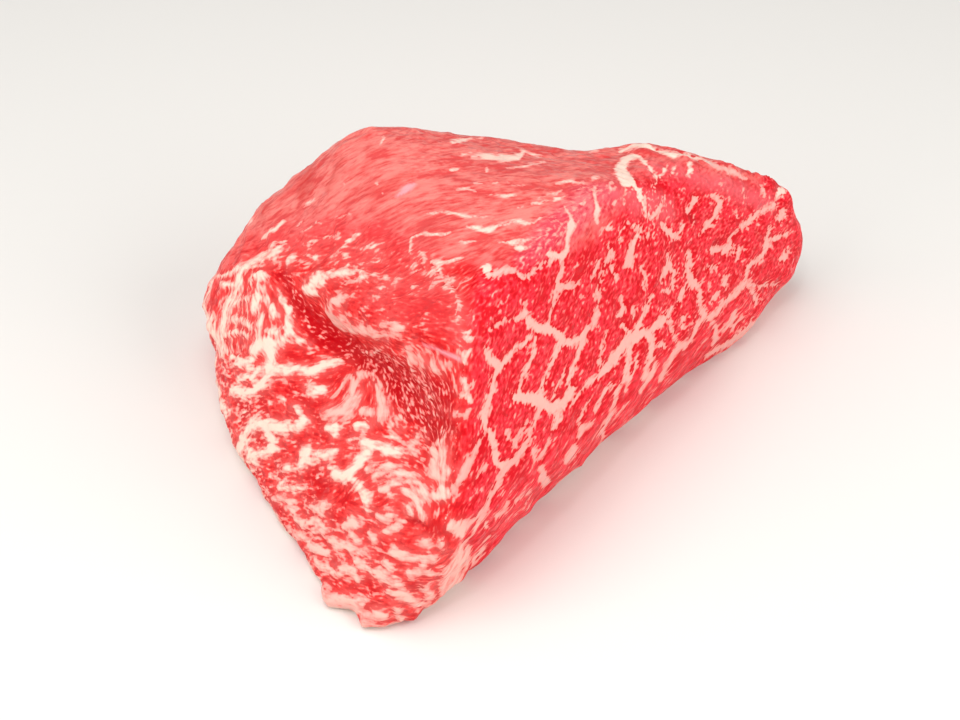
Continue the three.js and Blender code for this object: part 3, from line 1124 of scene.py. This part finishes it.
# The darkest and the palest lean: salmon where the surface runs along the fibres, deep red where
# a knife cut them across and bright red where they were torn
LEAN = {
    "along": ("#D84C4A", "#EE8178"),
    "cut": ("#D61622", "#F4303E"),
    "torn": ("#D00A14", "#FA3A38"),
}

# Single dark and pale fibres: the values of their pattern over which they set in
SINGLE_FIBRES = [
    {"none at": 0.49, "full at": 0.37, "strength": 0.6, "colour": "#BC0412"},
    {"none at": 0.54, "full at": 0.65, "strength": 0.45, "colour": "#FC9488"},
]

# What tints the lean here and there, and how strongly. The tints of the fold and the hollow are
# painted shade, in the shoulder's creases and under the lip, the hollow's partly the lean's own
# deeper red too; the purplish tint along the ridge is a painted sheen. The rest are the meat's own
# colours.
TINTS_SHADE_AND_SHEEN = {
    "halo": (0.3, "#F88880"),
    "calm": (0.2, "#F06A6A"),
    "fold_shade": (0.6, "#C8302C"),
    "hollow": (0.78, "#B6000E"),
    "ridge_sheen": (0.38, "#DC4C6C"),
    "brow": (0.45, "#F0747A"),
    "sinew": (0.75, "#F8A8B0"),
    "clot": (0.7, "#B00412"),
}

# Fat over the meat and thick white fat, and the two as they are where they are thin. Thin fat in the
# hollow is darker, as painted shade under the lip.
FAT = {"pink": "#EDA299", "cream": "#F6D6C4", "thin": "#F48880", "thin in the hollow": "#E45654"}


def raw_marbled_beef():
    """Raw beef as the knife and the parting muscles left it: wet, slightly translucent red lean
    with seams of paler fat, whose edges are tinted by the lean. The eye sees a soft gloss in
    small broken spots, because the fibres keep the wet surface from being flat."""
    material = bpy.data.materials.new("raw_marbled_beef")
    material.use_nodes = True
    tree = material.node_tree
    tree.nodes.clear()
    place = add(tree, "ShaderNodeTexCoord", gives="Object")
    turn = Matrix(GRAIN_FRAME.tolist()).to_euler()
    uneven = {}
    for name, size in PATTERNS.items():
        scale = (size["across"] * MM, size["across"] * MM, size["along"] * MM)
        grained = add(
            tree, "ShaderNodeMapping", {"Vector": place}, {"Rotation": turn, "Scale": scale},
            vector_type="TEXTURE",
        )
        uneven[name] = add(
            tree, "ShaderNodeTexNoise", {"Vector": grained},
            {"Scale": 1, "Detail": 3, "Roughness": 0.55, "Distortion": size["swirl"]},
        )
    known = {
        name: add(tree, "ShaderNodeAttribute", attribute_name=name, gives="Fac")
        for name in (
            "seam", "halo", "cream", "cut_across", "torn_end", "knife_cut", "fine", "calm", "fold_shade",
            "hollow", "ridge_sheen", "brow", "sinew", "clot",
        )
    }

    # Fine unevenness is drawn out in short strokes along the fibres, as their torn or cut ends lie
    stroke = add(tree, "ShaderNodeAttribute", attribute_name="comb", gives="Vector")
    combed = {}
    for name, comb in COMBS.items():
        for tooth in np.linspace(-comb["reach"], comb["reach"], COMB_TEETH).tolist():
            reached = add(
                tree, "ShaderNodeVectorMath", {0: stroke, 2: place}, {1: (tooth, tooth, tooth)},
                operation="MULTIPLY_ADD",
            )
            met = add(
                tree, "ShaderNodeTexNoise", {"Vector": reached},
                {"Scale": 1 / (comb["wave"] * MM), "Detail": 1, "Roughness": 0.5},
            )
            if name in combed:
                met = add(tree, "ShaderNodeMath", {0: combed[name], 1: met}, operation="ADD")
            combed[name] = met
    strokes = None
    for name, comb in COMBS.items():
        offset = add(
            tree, "ShaderNodeMath", {0: combed[name]}, {1: 1 / COMB_TEETH, 2: -0.5},
            operation="MULTIPLY_ADD",
        )
        gain = add(
            tree, "ShaderNodeMapRange", {"Value": known["fine"]},
            {"To Min": comb["gain"], "To Max": comb["fine gain"]},
        )
        before = {} if strokes is None else {2: strokes}
        strokes = add(
            tree, "ShaderNodeMath", {0: offset, 1: gain, **before}, {2: 0.5}, operation="MULTIPLY_ADD",
        )

    # Longer streaks join them where the surface runs along the fibres
    streaky = add(
        tree, "ShaderNodeMapRange", {"Value": known["cut_across"]}, {"To Min": STREAKY, "To Max": 0},
    )
    pattern = add(tree, "ShaderNodeMix", {"Factor": streaky, "A": strokes, "B": uneven["streaks"]})

    # Veins run where one slow wave passes through its middle value
    vein = add(tree, "ShaderNodeMath", {0: uneven["veins"]}, {1: 0.5}, operation="SUBTRACT")
    vein = add(tree, "ShaderNodeMath", {0: vein}, operation="ABSOLUTE")
    vein = add(
        tree, "ShaderNodeMapRange", {"Value": vein}, {"From Min": 0.07, "From Max": 0, "To Max": 0.07},
        interpolation_type="SMOOTHSTEP",
    )
    vein = add(tree, "ShaderNodeMath", {0: vein, 1: known["knife_cut"]}, operation="MULTIPLY")
    pattern = add(tree, "ShaderNodeMath", {0: pattern, 1: vein}, operation="ADD")

    # The lean is mottled by the fibres and by larger patches, and has a colour of its own on each
    # kind of face
    tone = add(tree, "ShaderNodeMix", {"A": pattern, "B": uneven["patches"]}, {"Factor": 0.45})
    mottle = add(tree, "ShaderNodeMapRange", {"Value": tone}, {"From Min": 0.43, "From Max": 0.57})
    along, cut, torn = (
        add(
            tree, "ShaderNodeMix", {"Factor": mottle}, {"A": linear(dark), "B": linear(light)},
            data_type="RGBA",
        )
        for dark, light in (LEAN["along"], LEAN["cut"], LEAN["torn"])
    )
    lean = add(
        tree, "ShaderNodeMix", {"Factor": known["cut_across"], "A": along, "B": cut}, data_type="RGBA",
    )
    lean = add(
        tree, "ShaderNodeMix", {"Factor": known["torn_end"], "A": lean, "B": torn}, data_type="RGBA",
    )

    # Single fibres stand out darker and paler than the rest, most where they are cut across
    contrast = add(
        tree, "ShaderNodeMapRange", {"Value": known["cut_across"]}, {"To Min": 0.3, "To Max": 1},
    )
    contrast = add(
        tree, "ShaderNodeMath", {0: known["knife_cut"], 2: contrast}, {1: -0.35},
        operation="MULTIPLY_ADD",
    )
    # Along the ridge the fibres get more contrast, as painted glints of its sheen
    contrast = add(
        tree, "ShaderNodeMath", {0: known["ridge_sheen"], 2: contrast}, {1: 0.6}, operation="MULTIPLY_ADD",
    )
    for fibre in SINGLE_FIBRES:
        low, high = fibre["none at"] * COMB_TEETH, fibre["full at"] * COMB_TEETH
        share = add(
            tree, "ShaderNodeMapRange", {"Value": combed["fibres"]},
            {"From Min": low, "From Max": high, "To Max": fibre["strength"]},
        )
        share = add(tree, "ShaderNodeMath", {0: share, 1: contrast}, operation="MULTIPLY")
        lean = add(
            tree, "ShaderNodeMix", {"Factor": share, "A": lean}, {"B": linear(fibre["colour"])},
            data_type="RGBA",
        )

    # The lean takes its tints, among them painted shade in the fold and the hollow and a painted sheen
    # along the ridge
    for name, (strength, colour) in TINTS_SHADE_AND_SHEEN.items():
        share = add(tree, "ShaderNodeMath", {0: known[name]}, {1: strength}, operation="MULTIPLY")
        lean = add(
            tree, "ShaderNodeMix", {"Factor": share, "A": lean}, {"B": linear(colour)}, data_type="RGBA",
        )

    # Fat fills the seams, whose edges fray into the pattern, and shows as flecks between them
    thinned = add(
        tree, "ShaderNodeMath", {0: known["seam"], 2: pattern}, {1: -SEAM_SLOPE},
        operation="MULTIPLY_ADD",
    )
    fat = add(
        tree, "ShaderNodeMapRange", {"Value": thinned}, {"From Min": 0.48, "From Max": 0.6},
        interpolation_type="SMOOTHSTEP",
    )
    fat_colour = add(
        tree, "ShaderNodeMix", {"Factor": known["cream"]},
        {"A": linear(FAT["pink"]), "B": linear(FAT["cream"])}, data_type="RGBA",
    )
    thick = add(
        tree, "ShaderNodeMapRange", {"Value": thinned}, {"From Min": 0.52, "From Max": 0.88},
        interpolation_type="SMOOTHSTEP",
    )
    # Thin fat in the hollow darkens, as painted shade under the lip
    thin_colour = add(
        tree, "ShaderNodeMix", {"Factor": known["hollow"]},
        {"A": linear(FAT["thin"]), "B": linear(FAT["thin in the hollow"])}, data_type="RGBA",
    )
    fat_colour = add(
        tree, "ShaderNodeMix", {"Factor": thick, "A": thin_colour, "B": fat_colour}, data_type="RGBA",
    )
    colour = add(tree, "ShaderNodeMix", {"Factor": fat, "A": lean, "B": fat_colour}, data_type="RGBA")

    # Juice stands in small spots as a thin clear coat, which takes the bumps of the fibres too
    wetness = add(
        tree, "ShaderNodeMapRange", {"Value": uneven["wet spots"]},
        {"From Min": 0.5, "From Max": 0.66, "To Max": 0.6},
    )
    height = add(tree, "ShaderNodeMath", {0: pattern, 1: contrast}, operation="MULTIPLY")
    bumpy = add(
        tree, "ShaderNodeBump", {"Height": height}, {"Strength": 0.8, "Distance": BUMP_DEPTH * MM},
    )
    surface = add(
        tree, "ShaderNodeBsdfPrincipled",
        {"Base Color": colour, "Coat Weight": wetness, "Normal": bumpy, "Coat Normal": bumpy},
        {
            "IOR": 1.4,
            "Roughness": 0.5,
            "Specular IOR Level": 0.1,
            "Coat Roughness": 0.16,
            "Coat IOR": 1.36,
            "Subsurface Weight": 0.12,
            "Subsurface Radius": (1.0, 0.3, 0.2),
            "Subsurface Scale": 1.0 * MM,
        },
    )
    add(tree, "ShaderNodeOutputMaterial", {"Surface": surface})
    return material


def plain_board():
    """A matt pale board, which gives the eye nothing but a soft shadow"""
    material = bpy.data.materials.new("plain_board")
    material.use_nodes = True
    tree = material.node_tree
    tree.nodes.clear()
    surface = add(
        tree, "ShaderNodeBsdfPrincipled", values={"Base Color": linear("#E6E3DE"), "Roughness": 0.7},
    )
    add(tree, "ShaderNodeOutputMaterial", {"Surface": surface})
    return material


FLOOR_SIZE = 8000

# Soft lights round the block: azimuth and elevation in degrees where they hang, distance and
# size in millimetres, and power in watts
LIGHTS = {
    "overhead": {"azimuth": -100, "elevation": 75, "distance": 800, "size": 700, "power": 3.6},
    "left": {"azimuth": -110, "elevation": 35, "distance": 800, "size": 600, "power": 2.6},
    "glints": {"azimuth": -70, "elevation": 62, "distance": 800, "size": 70, "power": 0.5},
    "right": {"azimuth": 4, "elevation": 34, "distance": 800, "size": 600, "power": 3.7},
}
AMBIENT = 0.36


def direction(azimuth, elevation):
    """From the block towards something seen at this azimuth, 0 being the side that faces -Y"""
    a, e = math.radians(azimuth), math.radians(elevation)
    return np.array([math.sin(a) * math.cos(e), -math.cos(a) * math.cos(e), math.sin(e)])


def looking(from_place, along_back):
    """A matrix for a camera or light at a place, its back turned to the given direction"""
    right = np.cross([0, 0, 1], along_back)
    right /= np.linalg.norm(right)
    matrix = np.eye(4)
    matrix[:3, :3] = np.column_stack([right, np.cross(along_back, right), along_back])
    matrix[:3, 3] = from_place * MM
    return Matrix(matrix.tolist())


def studio():
    scene = bpy.context.scene
    scene.view_settings.view_transform = "Standard"
    world = bpy.data.worlds.new("studio")
    world.use_nodes = True
    sky = next(node for node in world.node_tree.nodes if node.type == "BACKGROUND")
    sky.inputs["Color"].default_value = linear("#FFFFFF")
    sky.inputs["Strength"].default_value = AMBIENT
    scene.world = world

    half = FLOOR_SIZE / 2 * MM
    mesh = bpy.data.meshes.new("board")
    corners = [(-half, -half, 0), (half, -half, 0), (half, half, 0), (-half, half, 0)]
    mesh.from_pydata(corners, [], [(0, 1, 2, 3)])
    mesh.materials.append(plain_board())
    board = bpy.data.objects.new("board", mesh)
    scene.collection.objects.link(board)

    for name, light in LIGHTS.items():
        lamp = bpy.data.lights.new(name, "AREA")
        lamp.shape = "DISK"
        lamp.size = light["size"] * MM
        lamp.energy = light["power"]
        hung = bpy.data.objects.new(name, lamp)
        back = direction(light["azimuth"], light["elevation"])
        hung.matrix_world = looking(AIM + back * light["distance"], back)
        scene.collection.objects.link(hung)

    lens = bpy.data.cameras.new("camera")
    lens.lens = LENS
    lens.sensor_width = SENSOR
    lens.clip_start = 10 * MM
    camera = bpy.data.objects.new("camera", lens)
    camera.matrix_world = looking(EYE, BACK)
    scene.collection.objects.link(camera)
    scene.camera = camera


block = block_skin()
clothe(block)
block.data.materials.append(raw_marbled_beef())
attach(block, "root")
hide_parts("meat")
studio()
